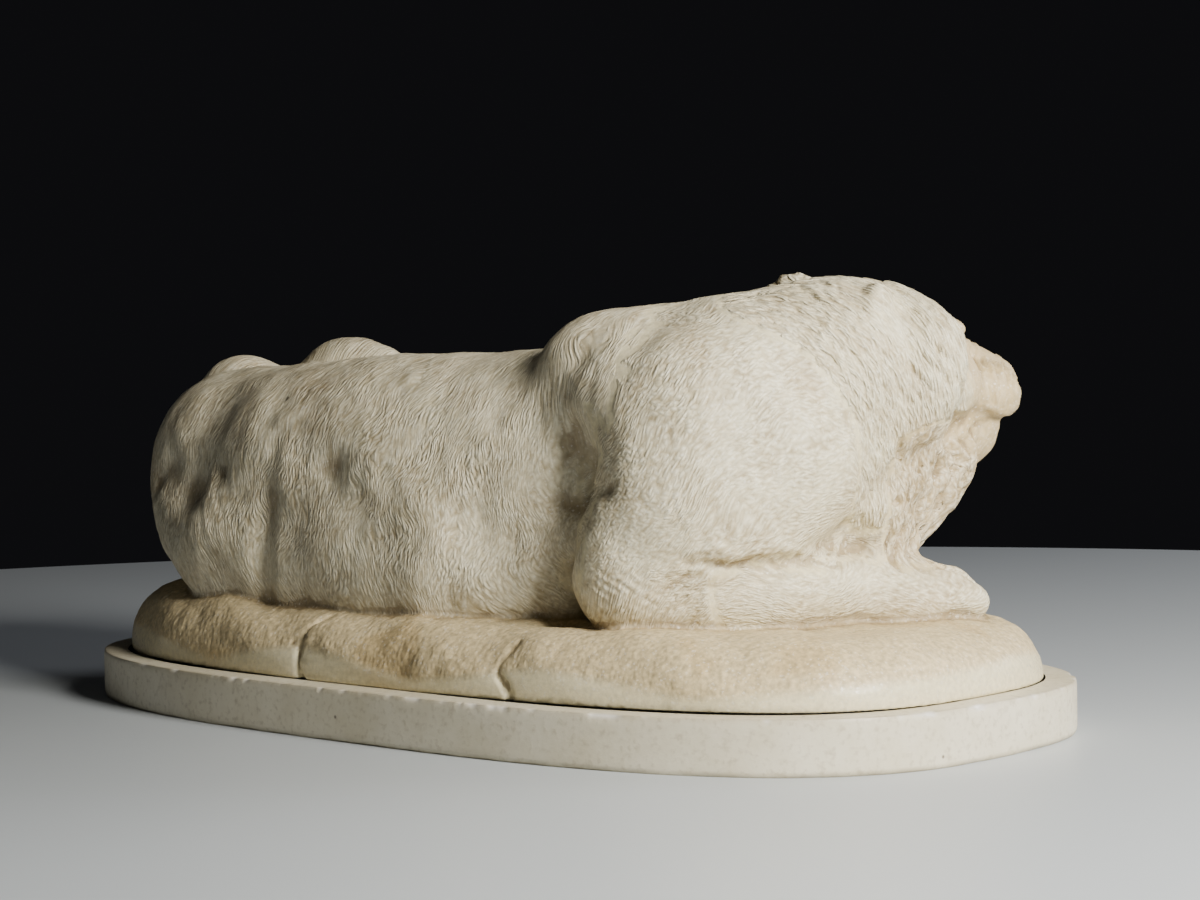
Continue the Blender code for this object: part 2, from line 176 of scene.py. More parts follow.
def forequarters():
    # withers, shoulder blade, upper arm, chest and the left shoulder
    ball((81, -35, 92), (34, 22, 24), yaw=42, pitch=-4, fillet=18)
    ball((102, -42, 80), (34, 22, 25), yaw=44, fillet=18)
    ball((131, -41, 62), (43, 25, 43), yaw=46, fillet=16)
    ball((120, -48, 38), (34, 24, 30), yaw=46, pitch=-14, fillet=12)
    limb([(126, -50, 50, 24), (105, -61, 24, 24)], 14)
    ball((124, -4, 66), (42, 42, 46), yaw=52, fillet=18)
    ball((84, 18, 58), (40, 24, 42), yaw=50, fillet=12)
    ball((62, 4, 84), (30, 18, 24), yaw=40, fillet=12)
    ball((78, 34, 34), (30, 18, 24), yaw=50, pitch=-10, fillet=10)


def right_foreleg():
    limb([(101, -61, 14, 22), (124, -46, 10, 17), (141, -27, 8, 15), (148, 6, 8, 14), (156, 30, 6, 13)], 5)
    paw((158, 34, 3), 53, 27, 13)
    ball((164, 20, 3), (22, 11, 10), yaw=53, fillet=6)


def left_foreleg():
    limb([(66, 34, 20, 20), (92, 60, 14, 15), (112, 74, 10, 13)], 8)
    paw((110, 74, 3), 24, 30, 13)


def neck():
    ball((117, -6, 85), (45, 38, 34.5), yaw=52, pitch=8, fillet=18)
    ball((140, 14, 92), (36, 36, 31), yaw=66, fillet=14)
    ball((144, 30, 74), (28, 30, 34), yaw=66, fillet=12)
    ball((106, 32, 82), (30, 24, 32), yaw=60, fillet=12)
    ball((118, 48, 52), (22, 20, 30), yaw=60, fillet=10)


def ruff():
    """The ring of mane around the face: low over the forehead, deep under the jaw."""
    for step in range(14):
        angle = 2 * math.pi * (step + 0.5) / 14
        rise = 12 if math.sin(angle) > 0 else 27
        place = (24 - 5 * abs(math.sin(angle)), 29 * math.cos(angle), -4 + rise * math.sin(angle))
        head_ball(place, (13, 16.5, 16.5), fillet=6)


def beard():
    limb([(150, 62, 62, 19), (147, 55, 48, 18.5), (141, 45, 32, 15), (133, 41, 20, 14)], 10)
    ball((136, 24, 44), (26, 28, 34), yaw=60, fillet=10)


def skull():
    head_ball((12, 0, 1), (35, 29, 25), fillet=8)
    head_ball((38, 0, -6), (20, 24, 20), fillet=6)
    limb([(*on_head(28, 0, 7), 13), (*on_head(50, 0, 2), 11.5), (*on_head(71, 0, -2), 9.5)], 4)
    ring = [on_head(35, 27 * math.cos(turn), -5 + 24 * math.sin(turn)) for turn in np.linspace(-2.2, 5.4, 13)]
    groove(ring, 2.6, 4)
    for side in (1, -1):
        head_ball((37, side * 13, 12), (11, 10, 6), turn=side * 18, fillet=4)
        head_ball((38, side * 19, -8), (18, 10, 16), turn=side * -14, fillet=6)
        head_ball((64, side * 9, -8.5), (15.5, 11.5, 12.5), fillet=3)
        head_ball((45, side * 15.5, 5), (5.5, 5.5, 4.5), fillet=1)
        groove([on_head(53, side * 8, 6), on_head(46, side * 17, 10), on_head(41, side * 21, 6)], 1.6, 2.4)
        groove([on_head(54, side * 9, 3), on_head(47, side * 18, 0), on_head(41, side * 21, 4)], 1.2, 2.0)
        dent(on_head(81, side * 5.5, -4), 2.2, 2.2)
        dent(on_head(53, side * 11, 4), 2.5, 5)
        dent(on_head(46, side * 24, 2), 2, 6)
        groove([on_head(80, 0, -18), on_head(74, side * 11, -18), on_head(54, side * 19, -18)], 2.2, 2.0)
    head_ball((73, 0, -2), (8, 11, 7.5), fillet=3)
    groove([on_head(28, 0, 26), on_head(46, 0, 16)], 1.6, 5)
    groove([on_head(82, 0, -5), on_head(80, 0, -17)], 1.4, 1.6)
    limb([(*on_head(42, 0, -20), 15), (*on_head(64, 0, -23), 12)], 4)


def ears():
    # the left ear stands up, the right one lies flat in the mane
    head_ball((-6, 29, 15), (8, 14, 12), turn=30, roll=-24, fillet=3)
    dent(on_head(4, 32, 17), 5, 6)
    head_ball((0, -25, 13), (6, 12, 9), turn=-40, roll=30, fillet=3)
    dent(on_head(8, -32, 13), 2, 4)


def left_hindleg():
    # hip, thigh and knee stand over the back, the shank folds back down behind
    ball((-170, 10, 68), (32, 30, 25), yaw=30, fillet=12)
    ball((-184, -9, 79), (25, 21, 22), yaw=30, fillet=8)
    ball((-155, 32, 61), (45, 25, 48), yaw=10, pitch=8, fillet=10)
    ball((-128, 42, 50), (30, 21, 30), yaw=16, pitch=30, fillet=10)
    limb([(-112, 48, 38, 17), (-142, 62, 19, 13), (-172, 66, 13, 10)], 7)
    limb([(-172, 63, 9, 11), (-146, 73, 7, 10), (-122, 78, 5, 10)], 5)
    paw((-128, 77, 2), 8, 30, 12)


def right_hindleg():
    limb([(-110, -10, 24, 24), (-78, 40, 12, 14), (-62, 64, 7, 11)], 10)
    paw((-66, 60, 2), 38, 30, 12)


def tail():
    limb([(-158, -62, 50, 12), (-176, -52, 46, 12), (-190, -33, 42, 11), (-198, -10, 34, 10),
          (-198, 20, 22, 8.5), (-190, 50, 9, 7.5),
          (-172, 80, 1, 7), (-146, 96, -3, 6.5), (-120, 99, -5, 6)], 6)
    ball((-102, 99, -4), (20, 8, 8), yaw=-2, fillet=4)


def folds_of_skin():
    """The creases and hollows that the right side shows."""
    dent((-130, -87, 46), 10, 11)
    dent((-149, -83, 50), 4, 8)
    groove([(-162, -76, 46), (-151, -82, 55), (-137, -85, 60), (-120, -87, 59), (-108, -88, 52)], 3.4, 5)
    groove([(-70, -87, 68), (-73, -90, 45), (-74, -93, 25), (-75, -90, 4)], 3, 6)
    dent((-36, -90, 56), 2.4, 8)
    groove([(81, -60, 92), (81, -62, 76), (78, -65, 60), (72, -66, 46)], 3, 10)
    groove([(66, -76, 33), (79, -72, 41), (92, -74, 46), (106, -78, 48)], 2.2, 5)
    groove([(76, -72, -2), (77, -76, 16), (84, -80, 30), (92, -82, 38)], 6, 6)
    groove([(133, -66, 23), (148, -45, 20), (156, -8, 19)], 1.8, 3)
    groove([(123, -70, 12), (132, -66, 17)], 1.2, 2.5)
    groove([(155, -40, 95), (168, -27, 80), (171, -12, 65), (163, -1, 49)], 2.2, 7)
    groove([(172, 54, 67), (170, 18, 54), (160, 7, 41)], 4.5, 5)
    dent((152, 6, 29), 7, 8)


def cracks():
    groove([(-27, -95, -2), (-37, -106, -12), (-31, -110, -27)], 1.8, 2.4)
    groove([(78, -100, -7), (75, -106, -17), (84, -108, -27)], 1.8, 2.4)


def collect_masses():
    for kept in (MASSES, GROOVES, DENTS):
        kept.clear()
    trunk()
    forequarters()
    right_foreleg()
    left_foreleg()
    neck()
    ruff()
    beard()
    skull()
    ears()
    left_hindleg()
    right_hindleg()
    tail()
    folds_of_skin()
    cracks()


# The carving as a distance function of an array of points, in lion units

def blend(first, second, width):
    """The union of two distances with a fillet of that width."""
    share = np.maximum(width - np.abs(first - second), 0) / width
    return np.minimum(first, second) - share * share * width / 4


def ball_distance(points, centre, radii, angles):
    local = (points - np.array(centre)) @ frame_of(*angles)
    radii = np.array(radii, float)
    near = np.linalg.norm(local / radii, axis=1)
    steep = np.linalg.norm(local / radii ** 2, axis=1)
    return near * (near - 1) / np.maximum(steep, 1e-6)


def line_distance(points, line):
    """The distance to a bent line, less its radius where its points carry one."""
    nearest = np.full(len(points), 1e9)
    for start, end in zip(line[:-1], line[1:]):
        a, b = np.array(start, float), np.array(end, float)
        along = b[:3] - a[:3]
        share = np.clip((points - a[:3]) @ along / (along @ along), 0, 1)
        gap = np.linalg.norm(points - a[:3] - share[:, None] * along, axis=1)
        if len(a) > 3:
            gap -= a[3] + (b[3] - a[3]) * share
        nearest = np.minimum(nearest, gap)
    return nearest


def oval_reach(points):
    """How far out a point lies on the ground's oval: 1 on its outline."""
    x = points[:, 0] / (GROUND_LENGTH / 2 / UNIT)
    y = points[:, 1] / (GROUND_WIDTH / 2 / UNIT)
    return (np.abs(x) ** OVAL_POWER + np.abs(y) ** OVAL_POWER) ** (1 / OVAL_POWER)


def rock_waves(points):
    """Slow swells of the rough ground."""
    x, y, z = points.T
    return (np.sin(x / 17 + 1.3 * np.sin(y / 23)) * np.sin(y / 15 + 0.9 * np.sin(x / 31) + 1)
            + 0.6 * np.sin(x / 9 + y / 14 + z / 7))


def skin_waves(points):
    """Slow swells of flesh and ribs under the skin."""
    x, y, z = points.T
    return np.sin(x / 14 + z / 20 + np.sin(y / 20)) * np.sin(z / 16 + x / 33 + y / 27)


def ground_distance(points):
    """The rocky ground: an oval block with rounded shoulders, swells and two cracks."""
    height = GROUND_HEIGHT / UNIT
    shoulder = GROUND_SHOULDER / UNIT
    reach = oval_reach(points)
    to_centre = np.hypot(points[:, 0], points[:, 1])
    inward = np.where(reach > 1e-6, to_centre * (1 / np.maximum(reach, 1e-6) - 1), shoulder)
    fall = 1 - np.minimum(inward, shoulder) / shoulder
    top = height - 1 - GROUND_FALL * points[:, 0]
    lift = np.maximum(points[:, 2] + height, 0) / top
    rounded = (fall ** GROUND_EDGE_POWER + lift ** GROUND_EDGE_POWER) ** (1 / GROUND_EDGE_POWER)
    distance = (rounded - 1) * height
    return distance - 0.9 * rock_waves(points) * np.clip(lift * 1.6, 0, 1)


def locks(across, along, width, length):
    """Overlapping pointed locks: across and along are distances on the hair, the height is 0 to 1."""
    height = np.zeros_like(across)
    for row in (0, 1):
        shift = along / length + row * 0.5
        place = shift - np.floor(shift)
        side = across / width + 0.5 * row + 0.35 * np.floor(shift)
        middle = np.abs(side - np.floor(side) - 0.5) * 2
        body = np.clip(1 - middle ** 2 - place ** 3, 0, 1)
        height = np.maximum(height, body * (0.45 + 0.55 * place))
    return height


def mane_height(points):
    """The mane's locks: they sweep in arcs round the shoulders, and radiate from the face."""
    ahead, left, up = in_head(points)
    right_side = on_right(points)
    height = np.zeros(len(points))
    for share, shoulder in ((right_side, (118, -50, 44)), (1 - right_side, (66, 26, 44))):
        away = points - np.array(shoulder)
        radius = np.linalg.norm(away, axis=1)
        turn = np.arctan2(away[:, 2], np.hypot(away[:, 0], away[:, 1])) * 60
        bend = 1.6 * np.sin(turn / 9) + 1.2 * np.sin(turn / 4 + radius / 6)
        height += share * locks(radius + bend, -turn, 7, 17)
    around = np.arctan2(up + 6, left) * 34
    outward = np.hypot(left, up + 6) - ahead
    rays = locks(around + 2 * np.sin(outward / 8), outward, 10, 26)
    front = np.clip((ahead - 6 - 20 * right_side) / 9, 0, 1)
    return height * (1 - front) + 1.6 * rays * front


def mane_share(points):
    """1 in the mane, 0 on the face and the body."""
    x, y, z = points.T
    edge = np.interp(z, (30, 42, 57, 72, 87, 98, 109, 114), (113, 115, 117, 115, 105, 95, 74, 64))
    to_right = np.clip((0.68 * x - 0.73 * y - 65) / 20, 0, 1)
    off_shoulder = np.maximum(np.clip((0.73 * x + 0.68 * y - edge + 3) / 6, 0, 1), 1 - to_right)
    from_left = np.linalg.norm((points - np.array((56, 26, 30))) / np.array((52, 50, 64)), axis=1)
    off_left = np.clip((from_left - 0.98) / 0.12, 0, 1)
    high = np.clip((z - 26) / 8, 0, 1)
    forward = np.clip((x + 0.7 * y - 92) / 14, 0, 1)
    return (1 - face_share(points)) * off_shoulder * off_left * high * forward


def beard_share(points):
    x, y, z = points.T
    ahead = np.clip((x * 0.73 + y * 0.68 - 122) / 8, 0, 1)
    return ahead * np.clip((y - 8) / 14, 0, 1) * np.clip((z - 12) / 8, 0, 1) * np.clip((74 - z) / 10, 0, 1)


def beard_height(points):
    return locks(*beard_flow(points), 9, 26)


def join_masses(points):
    distance = np.full(len(points), 60.0)
    for kind, place, radii, angles, fillet in MASSES:
        if kind == "ball":
            centre, reach = np.array(place), max(radii)
        else:
            ends = np.array(place, float)
            centre = ends[:, :3].mean(axis=0)
            reach = (np.linalg.norm(ends[:, :3] - centre, axis=1) + ends[:, 3]).max()
        near = np.linalg.norm(points - centre, axis=1) - reach < distance + fillet
        some = points[near]
        if kind == "ball":
            close = ball_distance(some, place, radii, angles)
        else:
            close = line_distance(some, place)
        distance[near] = blend(distance[near], close, fillet)
    return distance


def copy_of_node(node, name):
    """A copy of a solid, welded, at the origin, as the only thing selected."""
    bpy.ops.object.select_all(action="DESELECT")
    source = frame["nodes"][node]
    mesh = source.data.copy()
    mesh.transform(source.matrix_world)
    mesh.materials.clear()
    piece = bpy.data.objects.new(name, mesh)
    bpy.context.scene.collection.objects.link(piece)
    bpy.context.view_layer.objects.active = piece
    piece.select_set(True)
    bpy.ops.object.mode_set(mode="EDIT")
    bpy.ops.mesh.select_all(action="SELECT")
    bpy.ops.mesh.remove_doubles(threshold=0.00001)
    bpy.ops.object.mode_set(mode="OBJECT")
    return piece


def apply_modifier(piece, kind, **settings):
    modifier = piece.modifiers.new(kind.lower(), kind)
    for name, value in settings.items():
        setattr(modifier, name, value)
    bpy.context.view_layer.objects.active = piece
    bpy.ops.object.modifier_apply(modifier=modifier.name)


def points_of(mesh):
    points = np.empty(len(mesh.vertices) * 3)
    mesh.vertices.foreach_get("co", points)
    return points.reshape(-1, 3)


def normals_of(mesh):
    normals = np.empty(len(mesh.vertices) * 3)
    mesh.vertex_normals.foreach_get("vector", normals)
    return normals.reshape(-1, 3)


def set_points(mesh, points):
    mesh.vertices.foreach_set("co", points.ravel())
    mesh.update()


def neighbour_mean(mesh, values, rounds=1, share=1.0):
    """Each point's value eased towards its neighbours' mean."""
    first, second = edge_ends(mesh)
    count = len(mesh.vertices)
    degree = np.maximum(np.bincount(first, minlength=count) + np.bincount(second, minlength=count), 1)
    values = values.copy()
    for _ in range(rounds):
        total = np.empty_like(values)
        for axis in range(values.shape[1]):
            column = values[:, axis]
            total[:, axis] = (np.bincount(first, column[second], minlength=count)
                              + np.bincount(second, column[first], minlength=count))
        values += share * (total / degree[:, None] - values)
    return values


def hashed(cells, salt):
    """A steady pseudo-random number from 0 to 1 for each whole-number cell."""
    x, y, z = cells.astype(np.int64).T
    mixed = (x * 73856093) ^ (y * 19349663) ^ (z * 83492791) ^ (salt * 2654435761)
    mixed = (mixed ^ (mixed >> 13)) * 1274126177
    return ((mixed ^ (mixed >> 16)) & 0xFFFF) / 65535.0


def grain(points, size, salt=0):
    """Smooth value noise from 0 to 1 with lumps of that size."""
    place = points / size
    cell = np.floor(place)
    share = place - cell
    share = share * share * (3 - 2 * share)
    total = np.zeros(len(points))
    for corner in range(8):
        step = np.array(((corner & 1), (corner >> 1) & 1, (corner >> 2) & 1))
        weight = np.prod(np.where(step, share, 1 - share), axis=1)
        total += weight * hashed(cell + step, salt)
    return total


# The flow of the hair: each point gets a distance across the strokes and one along them, in millimetres

def sway(points):
    """Slow wandering of the hair, in lion units."""
    return 16 * (grain(points, 34, 41) - 0.5) + 8 * (grain(points, 15, 42) - 0.5)


def trunk_flow(points):
    """Hair that runs from the spine back and down, steep on the flank, upright near the ground."""
    x, y, z = points.T
    down = 50 * np.abs(np.arctan2(y + 38, z - 24))
    drift = sway(points)
    return 0.9 * x + 0.45 * down - 0.0032 * down ** 2 + drift, 0.9 * down - 0.45 * x


def shoulder_flow(points):
    """A fan over the right shoulder, steep behind and nearly level in front."""
    x, y, z = points.T
    level = 0.73 * (x - 118) + 0.68 * (y + 46)
    height = 50 * np.arctan2(z - 40, 0.68 * x - 0.73 * y - 85) - 6
    turn = np.radians(np.clip(58 - 0.45 * (level + 52), 4, 62))
    bend = math.radians(0.45)
    across = (height - np.log(np.cos(turn)) / bend) * np.cos(turn)
    return across + 0.8 * sway(points), level / np.maximum(np.cos(turn), 0.4)


def leg_flow(points):
    x, y, z = points.T
    along = x * 0.55 + y * 0.83
    return z * 1.1 + 0.35 * (x * 0.83 - y * 0.55) + 2 * np.sin(along / 9) + 0.6 * sway(points), along


def mane_flow(points):
    """Arcs round the nearer shoulder."""
    right = on_right(points)
    across = np.zeros(len(points))
    along = np.zeros(len(points))
    for share, shoulder in ((right, (118, -50, 44)), (1 - right, (66, 26, 44))):
        away = points - np.array(shoulder)
        turn = np.arctan2(away[:, 2], np.hypot(away[:, 0], away[:, 1])) * 60
        across += share * (np.linalg.norm(away, axis=1) + 1.6 * np.sin(turn / 9))
        along += share * turn
    return across, along


def on_right(points):
    """1 on the head's right side, 0 on its left."""
    return np.clip(0.5 - in_head(points)[1] / 16, 0, 1)


def beard_flow(points):
    x, y, z = points.T
    around = np.arctan2(y - 26, x - 118) * 38
    return around + 2 * np.sin(z / 8), -z - 4 * np.sin(around / 7)


def face_share(points):
    ahead, left, up = in_head(points)
    off_axis = np.hypot(left, (up + 4) * 0.85)
    return np.clip((ahead - 26) / 6, 0, 1) * np.clip((30 - off_axis) / 4, 0, 1)


def near_shoulder(points):
    """1 on the right shoulder and upper arm, in front of the hollow behind the shoulder blade."""
    x, y, z = points.T
    back = np.interp(z, (29, 42, 61, 76, 89, 112), (9, 11, 17, 20, 22, 40))
    past_back = np.clip((0.73 * x + 0.68 * y - back) / 6, 0, 1)
    return past_back * np.clip((0.68 * x - 0.73 * y - 62) / 8, 0, 1)


def on_legs(points):
    x, y, z = points.T
    fore = np.clip((22 - z) / 5, 0, 1) * np.clip((0.73 * x + 0.68 * y - 58) / 8, 0, 1)
    hind = np.clip((y - 46) / 6, 0, 1) * np.clip((34 - z) / 8, 0, 1) * np.clip((60 - x) / 10, 0, 1)
    left = np.clip((y - 40) / 6, 0, 1) * np.clip((30 - z) / 8, 0, 1)
    return np.maximum(np.maximum(fore, hind), left)


def hair_flow(points, mane, beard):
    """The flow of whichever coat covers a point; a third number tells the coats apart."""
    across, along = trunk_flow(points)
    coat = np.zeros(len(points))
    strayed = points + 12 * (np.stack([grain(points, 6, 95 + i) for i in range(3)], axis=1) - 0.5)
    layers = ((near_shoulder(strayed) > 0.5, shoulder_flow), (on_legs(strayed) > 0.5, leg_flow),
              (mane > 0.4, mane_flow), (beard > 0.4, beard_flow))
    for number, (where, flow) in enumerate(layers, 1):
        a, b = flow(points[where])
        across[where], along[where], coat[where] = a, b, number
    return across, along, coat


# Finer carving, in lion units, raised on the form

def ragged(points, across, along, width, length, salt):
    """Locks whose width, place and length wander, so that no two rows match."""
    drift = grain(points, 11, salt) - 0.5
    turn = grain(points, 17, salt + 1) - 0.5
    return locks(across + 5 * drift + 3 * turn, along + 7 * turn, width, length)


def only_where(share, height, *arrays):
    """A relief worked out only where its share is felt, and faded by it."""
    total = np.zeros(len(share))
    felt = share > 0.02
    if felt.any():
        total[felt] = share[felt] * height(*[array[felt] for array in arrays])
    return total


def wool(points):
    across, along = mane_flow(points)
    across += 0.5 * sway(points)
    locks_of_wool = 1.9 * ragged(points, across, -along, 5.2, 11, 3)
    return locks_of_wool + 1.2 * ragged(points, across, 5 - along, 3.2, 7, 11) - 1.4


def beard_strands(points):
    across, along = beard_flow(points)
    return 4.2 * ragged(points, across, along, 5.2, 18, 15) - 2.2


def body_hair(points):
    across, along, _ = hair_flow(points, np.zeros(len(points)), np.zeros(len(points)))
    clumps = ragged(points, across, along, 4.2, 11, 19)
    patchy = 0.25 + 0.75 * grain(points, 24, 5)
    lumps = grain(points, 13, 6) + 0.5 * grain(points, 6, 7) - 0.75
    return patchy * (0.4 * clumps - 0.22) + 1.2 * lumps


def fine_coat(points, mane, beard):
    """Woolly locks inside the locks, hanging strands in the beard, and the longer clumps of body hair."""
    body = np.clip(1 - mane - beard, 0, 1) * (1 - face_share(points))
    return (only_where(mane, wool, points) + only_where(beard, beard_strands, points)
            + only_where(body, body_hair, points))


def rows(points, place, spacing, salt):
    """Uneven wrinkles that cross a direction, from -0.5 to 0.5, broken here and there."""
    wander = 2.4 * grain(points, 10, salt) + 1.2 * grain(points, 5, salt + 1)
    broken = np.clip(grain(points, 8, salt + 2) * 2.4 - 0.6, 0, 1)
    return broken * (0.5 - np.abs(np.sin(place / spacing + wander)))


def wrinkled(points, share, place, depth, spacing, salt):
    return only_where(share, lambda some, where: depth * rows(some, where, spacing, salt), points, place)


def bell(values, middle, width):
    """1 in the middle, falling away smoothly on both sides."""
    return np.exp(-((values - middle) / width) ** 2)


def wrinkles(points):
    """Loose skin: behind the arm, under the arm's fringe, on the rump and round the muzzle."""
    x, y, z = points.T
    near = np.clip((-y - 58) / 10, 0, 1)
    height = wrinkled(points, bell(x, 84, 14) * bell(z, 42, 12) * near, z - 0.75 * x, 2.4, 1.8, 51)
    height += wrinkled(points, bell(x, -108, 20) * bell(z, 34, 16) * near, x + 0.5 * z, 0.35, 2.2, 54)
    height += wrinkled(points, bell(x, -122, 16) * bell(z, 54, 7) * near, x - 0.6 * z, 0.5, 2.3, 57)
    forearm = bell(x, 145, 15) * bell(z, 14, 8) * np.clip((22 - y) / 10, 0, 1)
    height += wrinkled(points, forearm, z + 4 * np.sin((x + y) / 9), 1.6, 1.7, 60)
    height += wrinkled(points, bell(x, 112, 12) * bell(z, 12, 9) * near, x + 1.2 * z, 0.8, 1.9, 63)
    ahead, _, up = in_head(points)
    muzzle = np.clip((ahead - 52) / 8, 0, 1) * np.clip((up + 16) / 4, 0, 1) * np.clip((84 - ahead) / 4, 0, 1)
    return height + wrinkled(points, muzzle, np.hypot(ahead - 88, up + 4), 1.7, 1.3, 66)


def fringe(points):
    """The ragged lower edge of the fur on the upper arm, which hangs over the forearm."""
    x, y, z = points.T
    forward = 0.73 * x + 0.68 * y
    edge = np.interp(forward, (52, 62, 74, 86, 97, 107, 113, 117), (26, 24.5, 23, 24, 22, 21.5, 27, 36))
    edge += (1.0 * np.sin(forward / 2.9) + 6 * (grain(points, 7, 71) - 0.5)
             + 4 * (grain(points, 2.6, 72) - 0.5))
    below = edge - z
    lip = bell(below, -2, 3.2) - 0.9 * bell(below, 1.2, 1.4)
    extent = np.clip((forward - 50) / 10, 0, 1) * np.clip((120 - forward) / 4, 0, 1)
    return 1.1 * lip * extent * np.clip((0.68 * x - 0.73 * y - 80) / 10, 0, 1)


def tooling(points):
    """Short strokes of the flat chisel on the upper rock, in patches, over low lumps."""
    x, y, z = points.T
    height = np.zeros(len(points))
    for turn, salt in ((25, 21), (80, 22), (140, 23)):
        c, s = math.cos(math.radians(turn)), math.sin(math.radians(turn))
        strokes = ragged(points, x * c + y * s + 0.5 * z, -x * s + y * c + z, 3.2, 5, salt * 3)
        height += np.clip(grain(points, 15, salt) * 4 - 2.2, 0, 1) * (strokes - 0.5)
    lumps = 0.9 * grain(points, 9, 24) + 0.45 * grain(points, 3.2, 25) + 1.5 * grain(points, 22, 26)
    return 0.3 * height + 1.0 * (lumps - 1.43)


def split(points, line, depth, width, salt):
    """A sharp-edged crack along a line that wanders."""
    wander = np.stack([grain(points, 7, salt + i) - 0.5 for i in range(3)], axis=1) * 5
    return depth * bell(line_distance(points + wander, line), 0, width)


def toe_cuts(heel, yaw, length, spread):
    """The clefts between the toes of a paw, from the knuckles to the ground."""
    frame = frame_of(yaw, 0)
    cuts = []
    for side in (-0.55, 0, 0.55):
        path = [(length * 0.4, side * spread * 0.95, 11), (length * 0.85, side * spread * 1.05, 6),
                (length * 1.08, side * spread * 1.1, -5)]
        cuts.append(([tuple(np.array(heel) + frame @ np.array(place)) for place in path], 3.4, 1.9))
    return cuts


def fine_cuts():
    """Finer grooves and drilled hollows: the toes, under the jaw and in the beard; one crease is eased."""
    grooves = [([(171, 44, 65), (170, 18, 54), (164, 8, 46), (157, 7, 38), (150, 8, 27)], 2.6, 2.4),
               ([(-70, -87, 72), (-71.5, -88.5, 52)], -2.2, 6.5)]
    for paw_place in (((158, 34, 3), 53, 27, 13), ((110, 74, 3), 24, 30, 13), ((-128, 77, 2), 8, 30, 12),
                      ((-66, 60, 2), 38, 30, 12)):
        grooves += toe_cuts(*paw_place)
    for side in (1, -1):
        jaw = [on_head(70, side * 12, -24), on_head(52, side * 19, -25), on_head(38, side * 26, -20)]
        grooves.append((jaw, 2.6, 2.6))
    holes = [((164, 31, 38), 5, 3.2), ((169, 58, 61), 4, 3), ((166, 44, 50), 3.5, 2.6),
             ((161, 20, 40), 3.5, 2.6), ((168, 30, 50), 3, 2.4), ((157, 40, 30), 3, 2.6)]
    return grooves, holes


FINE_GROOVES, FINE_HOLES = fine_cuts()


def fine_distance(points):
    """The distance to the finished carving, and what each point belongs to."""
    form = join_masses(points) - 0.7 * skin_waves(points)
    beard = beard_share(points)
    mane = mane_share(points) * (1 - beard)
    lion = form - mane * (1.1 * mane_height(points) - 0.4) - beard * (4.4 * beard_height(points) - 1.8)
    lion -= fine_coat(points, mane, beard) + wrinkles(points) + fringe(points)
    rock = ground_distance(points)
    band = 20 + 4 * (grain(points, 30, 91) - 0.5) + 3 * np.sin(points[:, 0] / 21)
    upper = np.clip((points[:, 2] + band) / 3, 0, 1)
    rock = rock - only_where(upper * (rock < lion + 5), tooling, points)
    distance = blend(lion, rock, 2)
    for line, depth, width in GROOVES[:-CRACKS] + FINE_GROOVES:
        distance += depth * bell(line_distance(points, line), 0, width)
    for centre, depth, width in FINE_HOLES:
        distance += depth * bell(np.linalg.norm(points - np.array(centre), axis=1), 0, width)
    for line, _, _ in GROOVES[-CRACKS:]:
        distance += split(points, line, 2.6, 1.5, 81)
    for centre, depth, width in DENTS:
        distance += depth * bell(np.linalg.norm(points - np.array(centre), axis=1), 0, width)
    return distance, {"lion": lion, "rock": rock, "mane": mane, "beard": beard, "upper": upper}


def carve(mesh, rounds, limit):
    """Moves the mesh's points along their normals onto the finished carving."""
    seat = np.array((0, 0, GROUND_TOP))
    for _ in range(rounds):
        points = (points_of(mesh) - seat) / UNIT
        normals = normals_of(mesh)
        distance, _ = fine_distance(points)
        points -= np.clip(distance, -limit, limit)[:, None] * normals
        floor = (BLOCK_LOW[2] - GROUND_TOP) / UNIT
        points[:, 2] = np.maximum(points[:, 2], floor)
        set_points(mesh, points * UNIT + seat)


def set_float(mesh, name, values):
    layer = mesh.attributes.new(name, "FLOAT", "POINT")
    layer.data.foreach_set("value", values.astype(np.float32))


def hollows(mesh, near=6, far=40):
    """How deep each point lies under its smoothed surroundings, in millimetres, at two breadths."""
    points, normals = points_of(mesh), normals_of(mesh)
    smooth = neighbour_mean(mesh, points, near, 0.8)
    fine = ((smooth - points) * normals).sum(1) / MILLIMETRE
    smooth = neighbour_mean(mesh, smooth, far, 0.8)
    broad = ((smooth - points) * normals).sum(1) / MILLIMETRE
    return fine, broad


def edge_ends(mesh):
    ends = np.empty(len(mesh.edges) * 2, int)
    mesh.edges.foreach_get("vertices", ends)
    return ends.reshape(-1, 2).T


def away_from_seams(mesh, coat):
    """1 inside each coat, 0 on the triangles where two coats meet and their strokes would tear."""
    first, second = edge_ends(mesh)
    torn = coat[first] != coat[second]
    inside = np.ones(len(coat))
    inside[first[torn]] = 0
    inside[second[torn]] = 0
    return inside


